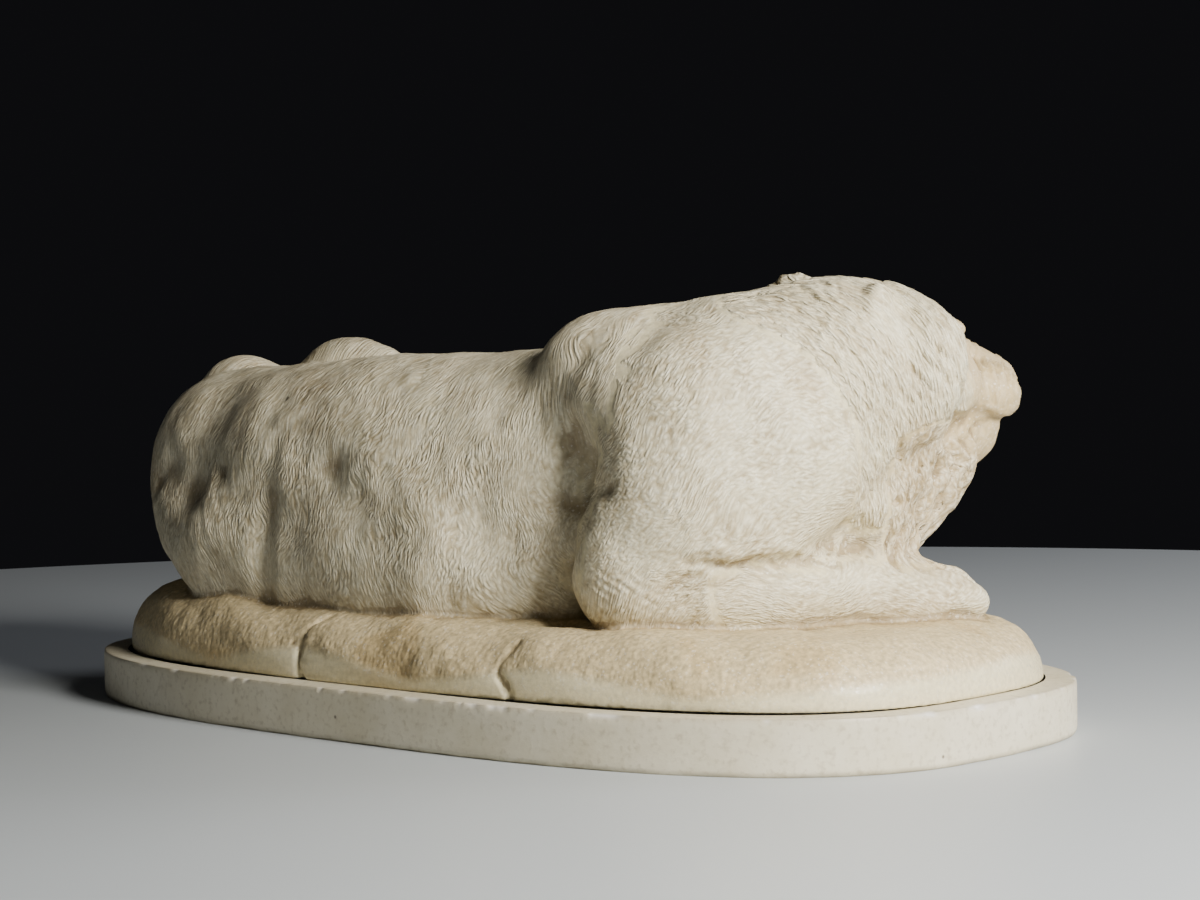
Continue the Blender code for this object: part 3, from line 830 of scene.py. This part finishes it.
def record_surface(mesh):
    """Leaves on the mesh what the marble's pattern follows: flow of the hair, hollows, rock and lion."""
    points = (points_of(mesh) - np.array((0, 0, GROUND_TOP))) / UNIT
    _, kinds = fine_distance(points)
    across, along, coat = hair_flow(points, kinds["mane"], kinds["beard"])
    layer = mesh.attributes.new("hair", "FLOAT_VECTOR", "POINT")
    layer.data.foreach_set("vector", np.stack((across, along, coat * 40), axis=1).astype(np.float32).ravel())
    on_rock = np.clip((kinds["lion"] - kinds["rock"]) / 0.8, 0, 1)
    fine, broad = hollows(mesh)
    set_float(mesh, "rock", on_rock)
    set_float(mesh, "upper_rock", on_rock * kinds["upper"])
    # the hollows darken the marble's colour: dust and painted shade
    set_float(mesh, "fine_hollow", fine)
    set_float(mesh, "broad_hollow", broad)
    set_float(mesh, "beard", kinds["beard"] * (1 - on_rock))
    set_float(mesh, "mane", kinds["mane"] * (1 - on_rock))
    set_float(mesh, "face", face_share(points))
    outside = np.maximum(np.maximum(kinds["lion"], kinds["rock"]), 0)
    apart = np.abs(kinds["lion"] - kinds["rock"])
    # the contact band darkens the marble's colour: painted shade and dust where the lion meets the rock
    set_float(mesh, "contact", np.exp(-outside / CONTACT_WIDTH) * np.exp(-apart / CONTACT_WIDTH))
    bare = np.maximum(face_share(points) * 0.7, on_rock)
    set_float(mesh, "furry", np.clip(1 - bare, 0, 1) * away_from_seams(mesh, coat))


def make_block(material):
    collect_masses()
    piece = copy_of_node(BLOCK, "carved_lion_on_rock")
    apply_modifier(piece, "REMESH", mode="VOXEL", voxel_size=FINE_VOXEL)
    set_points(piece.data, neighbour_mean(piece.data, points_of(piece.data), 4, 0.5))
    carve(piece.data, 3, CARVE_REACH)
    set_points(piece.data, neighbour_mean(piece.data, points_of(piece.data), 1, 0.3))
    carve(piece.data, 1, LAST_REACH)
    apply_modifier(piece, "TRIANGULATE")
    faces = len(piece.data.polygons)
    if faces > BLOCK_TRIANGLES:
        apply_modifier(piece, "DECIMATE", ratio=BLOCK_TRIANGLES / faces)
    record_surface(piece.data)
    piece.data.shade_smooth()
    piece.data.materials.append(material)
    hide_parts(BLOCK)
    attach(piece, "root")
    return piece


# The plinth: an oval slab with chipped and worn edges

RING_POINTS = 720
EDGE_RINGS = (0.0006, 0.0013, 0.0022, 0.004, 0.008, 0.012, 0.0158, 0.0177, 0.0187, 0.0194, 0.0199)
TOP_RINGS = (0.0006, 0.0007, 0.0009, 0.0013, 0.002, 0.003, 0.003, 0.003)
BOTTOM_INSET = 0.012
WORN_BAND = 0.0022
WORN_RIM = 0.003

# The slab's sides are unrolled round a circle of this many millimetres, so that chips keep one size
CHIP_CIRCLE = 190


def outline_radius(angle, half_length, half_width):
    c, s = np.abs(np.cos(angle)), np.abs(np.sin(angle))
    return ((c / half_length) ** OVAL_POWER + (s / half_width) ** OVAL_POWER) ** (-1 / OVAL_POWER)


def worn_slab(points):
    """The slab's true outline, its worn lower edge, chipped upper edge and slight unevenness."""
    half_length = (PLINTH_HIGH[0] - PLINTH_LOW[0]) / 2
    half_width = (PLINTH_HIGH[1] - PLINTH_LOW[1]) / 2
    height = PLINTH_HIGH[2] - PLINTH_LOW[2]
    angle = np.arctan2(points[:, 1], points[:, 0])
    inward = half_length - np.hypot(points[:, 0], points[:, 1])
    around = CHIP_CIRCLE * np.stack((np.cos(angle), np.sin(angle), np.zeros(len(points))), axis=1)
    radius = outline_radius(angle, half_length, half_width)
    low_edge = np.clip(1 - points[:, 2] / WORN_BAND, 0, 1)
    high_edge = np.clip(1 - (height - points[:, 2]) / WORN_BAND, 0, 1) * np.clip(1 - inward / WORN_RIM, 0, 1)
    wear = low_edge ** 2 * (0.5 + 1.1 * grain(around, 9, 31)) + high_edge ** 2 * 0.45
    chips = np.clip(grain(around, 5, 32) * 2.6 - 1.75, 0, 1)
    chips += np.clip(grain(around, 2.2, 33) * 2.4 - 1.85, 0, 0.5)
    chips = chips * (0.4 + grain(around, 40, 34))
    uneven = (grain(around + points * 300, 30, 35) - 0.5) * 0.16
    radius -= inward + (wear + 1.5 * chips * high_edge + np.maximum(uneven, 0)) * MILLIMETRE
    drop = (0.9 * chips * high_edge + 0.25 * high_edge ** 2) * MILLIMETRE
    moved = np.stack((radius * np.cos(angle), radius * np.sin(angle), points[:, 2] - drop), axis=1)
    return moved, np.clip(chips * high_edge * 1.6, 0, 1), np.clip(low_edge + 0.6 * high_edge, 0, 1)


def make_plinth(material):
    bpy.ops.object.select_all(action="DESELECT")
    half_length = (PLINTH_HIGH[0] - PLINTH_LOW[0]) / 2
    bpy.ops.mesh.primitive_circle_add(vertices=RING_POINTS, radius=half_length, fill_type="NGON")
    piece = bpy.context.active_object
    piece.name = "worn_oval_plinth"
    bpy.ops.object.mode_set(mode="EDIT")
    bpy.ops.mesh.select_all(action="SELECT")
    bpy.ops.mesh.inset(thickness=BOTTOM_INSET)
    bpy.ops.mesh.select_all(action="SELECT")
    bpy.ops.mesh.extrude_region_move(TRANSFORM_OT_translate={"value": (0, 0, EDGE_RINGS[0])})
    height = PLINTH_HIGH[2] - PLINTH_LOW[2]
    levels = list(EDGE_RINGS) + [height]
    for low, high in zip(levels[:-1], levels[1:]):
        bpy.ops.mesh.extrude_region_move(TRANSFORM_OT_translate={"value": (0, 0, high - low)})
    for step in TOP_RINGS:
        bpy.ops.mesh.inset(thickness=step)
    bpy.ops.mesh.select_all(action="SELECT")
    bpy.ops.mesh.normals_make_consistent(inside=False)
    bpy.ops.object.mode_set(mode="OBJECT")
    moved, chips, edges = worn_slab(points_of(piece.data))
    set_points(piece.data, moved)
    set_float(piece.data, "chip", chips)
    set_float(piece.data, "edge", edges)
    piece.data.shade_smooth()
    piece.data.materials.append(material)
    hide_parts(PLINTH)
    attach(piece, "root")
    return piece


# Materials

def linear(code):
    """An sRGB hex colour as the shader's linear values."""
    channels = [int(code[i:i + 2], 16) / 255 for i in (0, 2, 4)]
    return tuple(c / 12.92 if c <= 0.04045 else ((c + 0.055) / 1.055) ** 2.4 for c in channels) + (1,)


def add(tree, kind, inputs=None, out=0, **settings):
    """A node with its settings, and its inputs as values or links; it gives back one of its outputs."""
    made = tree.nodes.new("ShaderNode" + kind)
    for name, value in settings.items():
        setattr(made, name, value)
    for key, value in (inputs or {}).items():
        if isinstance(value, bpy.types.NodeSocket):
            tree.links.new(value, made.inputs[key])
        else:
            made.inputs[key].default_value = value
    return made.outputs[out]


def new_material(name):
    material = bpy.data.materials.new(name)
    material.use_nodes = True
    tree = material.node_tree
    return material, tree, tree.nodes["Principled BSDF"]


# Marble, and the sizes of its marks: the hair's in millimetres, the others as marks in a metre
MARBLE_IOR = 1.49
STROKE_WIDTH, STROKE_LENGTH = 1.1, 4.2
STRAND_WIDTH, STRAND_LENGTH = 0.7, 6.0
CLAW_MARKS = (560, 330, 430)
GRAIN = 520.0
FINE_GRAIN = 1100.0
CRYSTALS = 1400.0
CUT_DEPTH = 0.00045
SLAB_PIT_DEPTH = 0.00018
SURFACE_READS = ("rock", "upper_rock", "fine_hollow", "broad_hollow", "beard", "mane", "contact", "furry",
                 "face")


def carved_marble():
    """Fine white marble, cut with flat chisels and left from the tool; handling has yellowed it.

    The eye sees cream stone with tan blooms, stroke ridges whitened as bruised stone and as painted
    highlight, brown dust and painted shade in the hollows, and a crystal glint.
    """
    material, tree, shader = new_material("aged white marble, carved with flat chisels")
    place = add(tree, "TexCoord", out="Object")
    hair = add(tree, "Attribute", out="Vector", attribute_name="hair")
    reads = {name: add(tree, "Attribute", out="Fac", attribute_name=name) for name in SURFACE_READS}

    # chisel strokes of fur, laid along the hair in two layers that cross a little, and thin strands
    drift = add(tree, "TexNoise", {"Vector": place, "Scale": 170.0, "Detail": 1.0}, "Color")
    layers = []
    for turn in (-0.24, 0.28):
        laid = add(tree, "Mapping", {"Vector": hair, "Rotation": (0, 0, turn)})
        laid = add(tree, "Mapping", {"Vector": laid, "Scale": (1 / STROKE_WIDTH, 1 / STROKE_LENGTH, 1)})
        laid = add(tree, "VectorMath", {0: laid, 1: drift}, operation="ADD")
        stroke = add(tree, "TexVoronoi", {"Vector": laid, "Scale": 1.0, "Randomness": 1.0}, "Distance")
        layers.append(add(tree, "MapRange", {"Value": stroke, "From Min": 0.75, "From Max": 0.1}))
    ridge = add(tree, "Math", {0: layers[0], 1: layers[1]}, operation="MAXIMUM")
    thin = add(tree, "Mapping", {"Vector": hair, "Scale": (1 / STRAND_WIDTH, 1 / STRAND_LENGTH, 1)})
    strands = add(tree, "TexNoise", {"Vector": thin, "Scale": 1.0, "Detail": 2.0}, "Fac")

    # claw marks of 2 to 3 mm on the rock
    claw = add(tree, "Mapping", {"Vector": place, "Rotation": (0.3, 0.2, 0.7), "Scale": CLAW_MARKS})
    marks = add(tree, "TexVoronoi", {"Vector": claw, "Scale": 1.0}, "Distance", feature="SMOOTH_F1")

    # base colour, with tan blooms and more tan on the rock, the beard and the face
    bloom = add(tree, "TexNoise", {"Vector": place, "Scale": 17.0, "Detail": 4.0, "Roughness": 0.6}, "Fac")
    cream = add(tree, "Mix", {0: bloom, 6: linear("EAE1C0"), 7: linear("D9CDA6")}, 2, data_type="RGBA")
    spots = add(tree, "TexNoise", {"Vector": place, "Scale": 26.0, "Detail": 3.0, "Distortion": 0.4}, "Fac")
    tan = add(tree, "MapRange", {"Value": spots, "From Min": 0.55, "From Max": 0.75, "To Max": 0.6})
    more_tan = add(tree, "Math", {0: reads["upper_rock"], 1: 0.75}, operation="MULTIPLY")
    more_tan = add(tree, "Math", {0: reads["beard"], 1: 0.95, 2: more_tan}, operation="MULTIPLY_ADD")
    more_tan = add(tree, "Math", {0: reads["face"], 1: 1.0, 2: more_tan}, operation="MULTIPLY_ADD")
    stain = add(tree, "Math", {0: tan, 1: more_tan}, operation="ADD", use_clamp=True)
    toned = add(tree, "Mix", {0: stain, 6: cream, 7: linear("C6B084")}, 2, data_type="RGBA")

    # whiter ridges: partly bruised stone, partly painted highlight on the tops of the strokes
    bruise_and_highlight = add(tree, "Math", {0: ridge, 1: reads["furry"]}, operation="MULTIPLY")
    bruise_and_highlight = add(tree, "Math", {0: bruise_and_highlight, 1: 0.55}, operation="MULTIPLY")
    # the pale colour stands for bruised stone and for painted highlight
    bruised_and_highlit = add(tree, "Mix", {0: bruise_and_highlight, 6: toned, 7: linear("F4EFDC")}, 2, data_type="RGBA")

    # dust and old dirt, with painted shade, darken the hollows, the gaps between the strokes and the contact
    # with the rock
    deep, wide = reads["fine_hollow"], reads["broad_hollow"]
    deep = add(tree, "MapRange", {"Value": deep, "From Min": 0.04, "From Max": 0.4, "To Max": 0.8})
    wide = add(tree, "MapRange", {"Value": wide, "From Min": 0.8, "From Max": 3.5, "To Max": 0.6})
    gap = add(tree, "Math", {0: 1.0, 1: ridge}, operation="SUBTRACT")
    gap = add(tree, "Math", {0: gap, 1: reads["furry"]}, operation="MULTIPLY")
    gap = add(tree, "Math", {0: gap, 1: 0.7}, operation="MULTIPLY")
    combed = add(tree, "MapRange", {"Value": reads["mane"], "To Min": 1.0, "To Max": 0.55})
    deep = add(tree, "Math", {0: deep, 1: combed}, operation="MULTIPLY")
    dirt_and_shade = add(tree, "Math", {0: deep, 1: wide}, operation="MAXIMUM")
    dirt_and_shade = add(tree, "Math", {0: dirt_and_shade, 1: gap}, operation="MAXIMUM")
    dirt_and_shade = add(tree, "Math", {0: dirt_and_shade, 1: reads["contact"]}, operation="MAXIMUM")
    patchy = add(tree, "TexNoise", {"Vector": place, "Scale": 60.0, "Detail": 4.0}, "Fac")
    patchy = add(tree, "MapRange", {"Value": patchy, "From Min": 0.25, "From Max": 0.6, "To Min": 0.25})
    dirt_and_shade = add(tree, "Math", {0: dirt_and_shade, 1: patchy}, operation="MULTIPLY")
    # the dark brown stands for dust and for painted shade in hollows, stroke gaps and along the contact
    dirty_and_shaded = add(tree, "Mix", {0: dirt_and_shade, 6: bruised_and_highlit, 7: linear("8F7A58")}, 2, data_type="RGBA")

    # the sugary grain: every 2 mm a little lighter or darker, more on the tooled rock
    grit = add(tree, "TexNoise", {"Vector": place, "Scale": GRAIN, "Detail": 3.0}, "Fac")
    grit = add(tree, "MapRange", {"Value": grit, "From Min": 0.3, "From Max": 0.7, "To Min": -1.0})
    spread = add(tree, "Math", {0: reads["upper_rock"], 1: 0.12, 2: 0.12}, operation="MULTIPLY_ADD")
    grit = add(tree, "Math", {0: grit, 1: spread, 2: 1.0}, operation="MULTIPLY_ADD")
    grainy = add(tree, "VectorMath", {0: dirty_and_shaded, "Scale": grit}, operation="SCALE")

    # crystals of about 0.7 mm glint a little
    crystals = add(tree, "TexVoronoi", {"Vector": place, "Scale": CRYSTALS}, "Color")
    glint = add(tree, "SeparateColor", {"Color": crystals}, "Red")
    sparkle = add(tree, "MapRange", {"Value": glint, "From Min": 0.9, "From Max": 1.0, "To Max": 0.35})
    final = add(tree, "Mix", {0: sparkle, 6: grainy, 7: linear("FBF8F0")}, 2, data_type="RGBA")
    tree.links.new(final, shader.inputs["Base Color"])

    # the polished lower band of the rock is smoother than the tooled stone
    lower = add(tree, "Math", {0: reads["rock"], 1: reads["upper_rock"]}, operation="SUBTRACT")
    rough = add(tree, "MapRange", {"Value": lower, "To Min": 0.58, "To Max": 0.36})
    rough = add(tree, "Math", {0: sparkle, 1: -0.5, 2: rough}, operation="MULTIPLY_ADD")
    tree.links.new(rough, shader.inputs["Roughness"])

    # bump: fur strokes and strands of uneven vigour, claw marks and grain
    height = add(tree, "Math", {0: strands, 1: 0.35, 2: ridge}, operation="MULTIPLY_ADD")
    vigour = add(tree, "TexNoise", {"Vector": place, "Scale": 55.0, "Detail": 2.0}, "Fac")
    vigour = add(tree, "MapRange", {"Value": vigour, "From Min": 0.35, "From Max": 0.68,
                                    "To Min": 0.2, "To Max": 1.15})
    woolly = add(tree, "Math", {0: reads["mane"], 1: reads["beard"]}, operation="ADD")
    vigour = add(tree, "Math", {0: woolly, 1: 0.7, 2: vigour}, operation="MULTIPLY_ADD")
    vigour = add(tree, "Math", {0: vigour, 1: reads["furry"]}, operation="MULTIPLY")
    fur = add(tree, "Math", {0: height, 1: vigour}, operation="MULTIPLY")
    cuts = add(tree, "Math", {0: marks, 1: reads["upper_rock"]}, operation="MULTIPLY")
    relief = add(tree, "Math", {0: cuts, 1: 0.65, 2: fur}, operation="MULTIPLY_ADD")
    fine = add(tree, "TexNoise", {"Vector": place, "Scale": FINE_GRAIN, "Detail": 2.0}, "Fac")
    relief = add(tree, "Math", {0: fine, 1: 0.16, 2: relief}, operation="MULTIPLY_ADD")
    bump = add(tree, "Bump", {"Height": relief, "Distance": CUT_DEPTH, "Strength": 1.0})
    tree.links.new(bump, shader.inputs["Normal"])
    shader.inputs["IOR"].default_value = MARBLE_IOR
    return material


def slab_marble():
    """The same white marble, sawn to a slab and rubbed smooth; a little greyer, with worn and dirty edges."""
    material, tree, shader = new_material("aged white marble, sawn and rubbed smooth")
    place = add(tree, "TexCoord", out="Object")
    chip = add(tree, "Attribute", out="Fac", attribute_name="chip")
    edge = add(tree, "Attribute", out="Fac", attribute_name="edge")

    # clouds in the stone, then grime, the worn edges and the fresh chips
    cloud = add(tree, "TexNoise", {"Vector": place, "Scale": 32.0, "Detail": 6.0, "Roughness": 0.7}, "Fac")
    tone = add(tree, "Mix", {0: cloud, 6: linear("F3EDDA"), 7: linear("C4B897")}, 2, data_type="RGBA")
    fine = add(tree, "TexNoise", {"Vector": place, "Scale": 420.0, "Detail": 4.0}, "Fac")
    grime = add(tree, "MapRange", {"Value": fine, "From Min": 0.52, "From Max": 0.75, "To Max": 0.6})
    dusty = add(tree, "Mix", {0: grime, 6: tone, 7: linear("B3A68C")}, 2, data_type="RGBA")
    spread = add(tree, "TexNoise", {"Vector": place, "Scale": 90.0, "Detail": 3.0}, "Fac")
    worn = add(tree, "Math", {0: edge, 1: spread}, operation="MULTIPLY")
    edged = add(tree, "Mix", {0: worn, 6: dusty, 7: linear("9A8A6C")}, 2, data_type="RGBA")
    fresh = add(tree, "Mix", {0: chip, 6: edged, 7: linear("EFEBE2")}, 2, data_type="RGBA")

    # dark pits, under a millimetre wide and about 17 mm apart
    pits = add(tree, "TexVoronoi", {"Vector": place, "Scale": 60.0}, "Distance")
    pit = add(tree, "MapRange", {"Value": pits, "From Min": 0.05, "From Max": 0.02, "To Max": 0.8})
    final = add(tree, "Mix", {0: pit, 6: fresh, 7: linear("5A4C38")}, 2, data_type="RGBA")
    tree.links.new(final, shader.inputs["Base Color"])
    rough = add(tree, "MapRange", {"Value": fine, "To Min": 0.34, "To Max": 0.52})
    tree.links.new(rough, shader.inputs["Roughness"])
    relief = add(tree, "Math", {0: pit, 1: -1.5, 2: fine}, operation="MULTIPLY_ADD")
    bump = add(tree, "Bump", {"Height": relief, "Distance": SLAB_PIT_DEPTH, "Strength": 0.6})
    tree.links.new(bump, shader.inputs["Normal"])
    shader.inputs["IOR"].default_value = MARBLE_IOR
    return material


# Studio

CAMERA_PLACE = (0.7223, -0.7450, 0.1398)
CAMERA_LENS = 75.3
CAMERA_AZIMUTH = 42.94
CAMERA_PITCH = 1.877
CAMERA_ROLL = -1.0
FLOOR_RADIUS = 0.9
LIGHT_AIM = (0, 0, 0.08)

# The softboxes: place, side and power in metres and watts, and colour
SOFTBOXES = {
    "key": ((0.88, -0.15, 0.47), 0.34, 18, "FFFBF2"),
    "rim": ((0.65, 1.25, 0.8), 0.7, 8, "FCFCFF"),
    "fill": ((0.1, -1.3, 0.8), 1.2, 0.2, "F8FAFF"),
}


def make_camera():
    """The photograph's camera: nearly level, at the height of the lion's back."""
    azimuth, pitch, roll = (math.radians(v) for v in (CAMERA_AZIMUTH, CAMERA_PITCH, CAMERA_ROLL))
    level = math.cos(pitch)
    back = Vector((math.sin(azimuth) * level, -math.cos(azimuth) * level, math.sin(pitch)))
    right = Vector((math.cos(azimuth), math.sin(azimuth), 0))
    up = back.cross(right)
    turned_right = math.cos(roll) * right + math.sin(roll) * up
    turned_up = -math.sin(roll) * right + math.cos(roll) * up
    camera = bpy.data.objects.new("camera", bpy.data.cameras.new("camera"))
    bpy.context.scene.collection.objects.link(camera)
    rotation = Matrix((turned_right, turned_up, back)).transposed()
    camera.matrix_world = Matrix.Translation(CAMERA_PLACE) @ rotation.to_4x4()
    camera.data.lens = CAMERA_LENS
    camera.data.sensor_width = 36
    camera.data.clip_start = 0.05
    camera.data.clip_end = 20
    bpy.context.scene.camera = camera


def make_floor():
    bpy.ops.object.select_all(action="DESELECT")
    bpy.ops.mesh.primitive_circle_add(vertices=192, radius=FLOOR_RADIUS, fill_type="NGON")
    floor = bpy.context.active_object
    floor.name = "pale_floor"
    material, _, shader = new_material("pale matt floor")
    shader.inputs["Base Color"].default_value = linear("C2C8CD")
    shader.inputs["Roughness"].default_value = 0.45
    floor.data.materials.append(material)


def make_light():
    """Soft light from the right and above, a rim from behind, a weak fill, and a nearly black room."""
    for name, (place, side, power, colour) in SOFTBOXES.items():
        light = bpy.data.lights.new(name, "AREA")
        light.shape = "SQUARE"
        light.size = side
        light.energy = power
        light.color = linear(colour)[:3]
        lamp = bpy.data.objects.new(name, light)
        bpy.context.scene.collection.objects.link(lamp)
        lamp.location = place
        lamp.rotation_mode = "QUATERNION"
        lamp.rotation_quaternion = (Vector(place) - Vector(LIGHT_AIM)).to_track_quat("Z", "Y")
        lamp.visible_camera = False
    world = bpy.data.worlds.new("studio")
    world.use_nodes = True
    world.node_tree.nodes["Background"].inputs["Color"].default_value = linear("121214")
    world.node_tree.nodes["Background"].inputs["Strength"].default_value = 1.0
    bpy.context.scene.world = world


make_camera()
make_light()
make_floor()
make_block(carved_marble())
make_plinth(slab_marble())
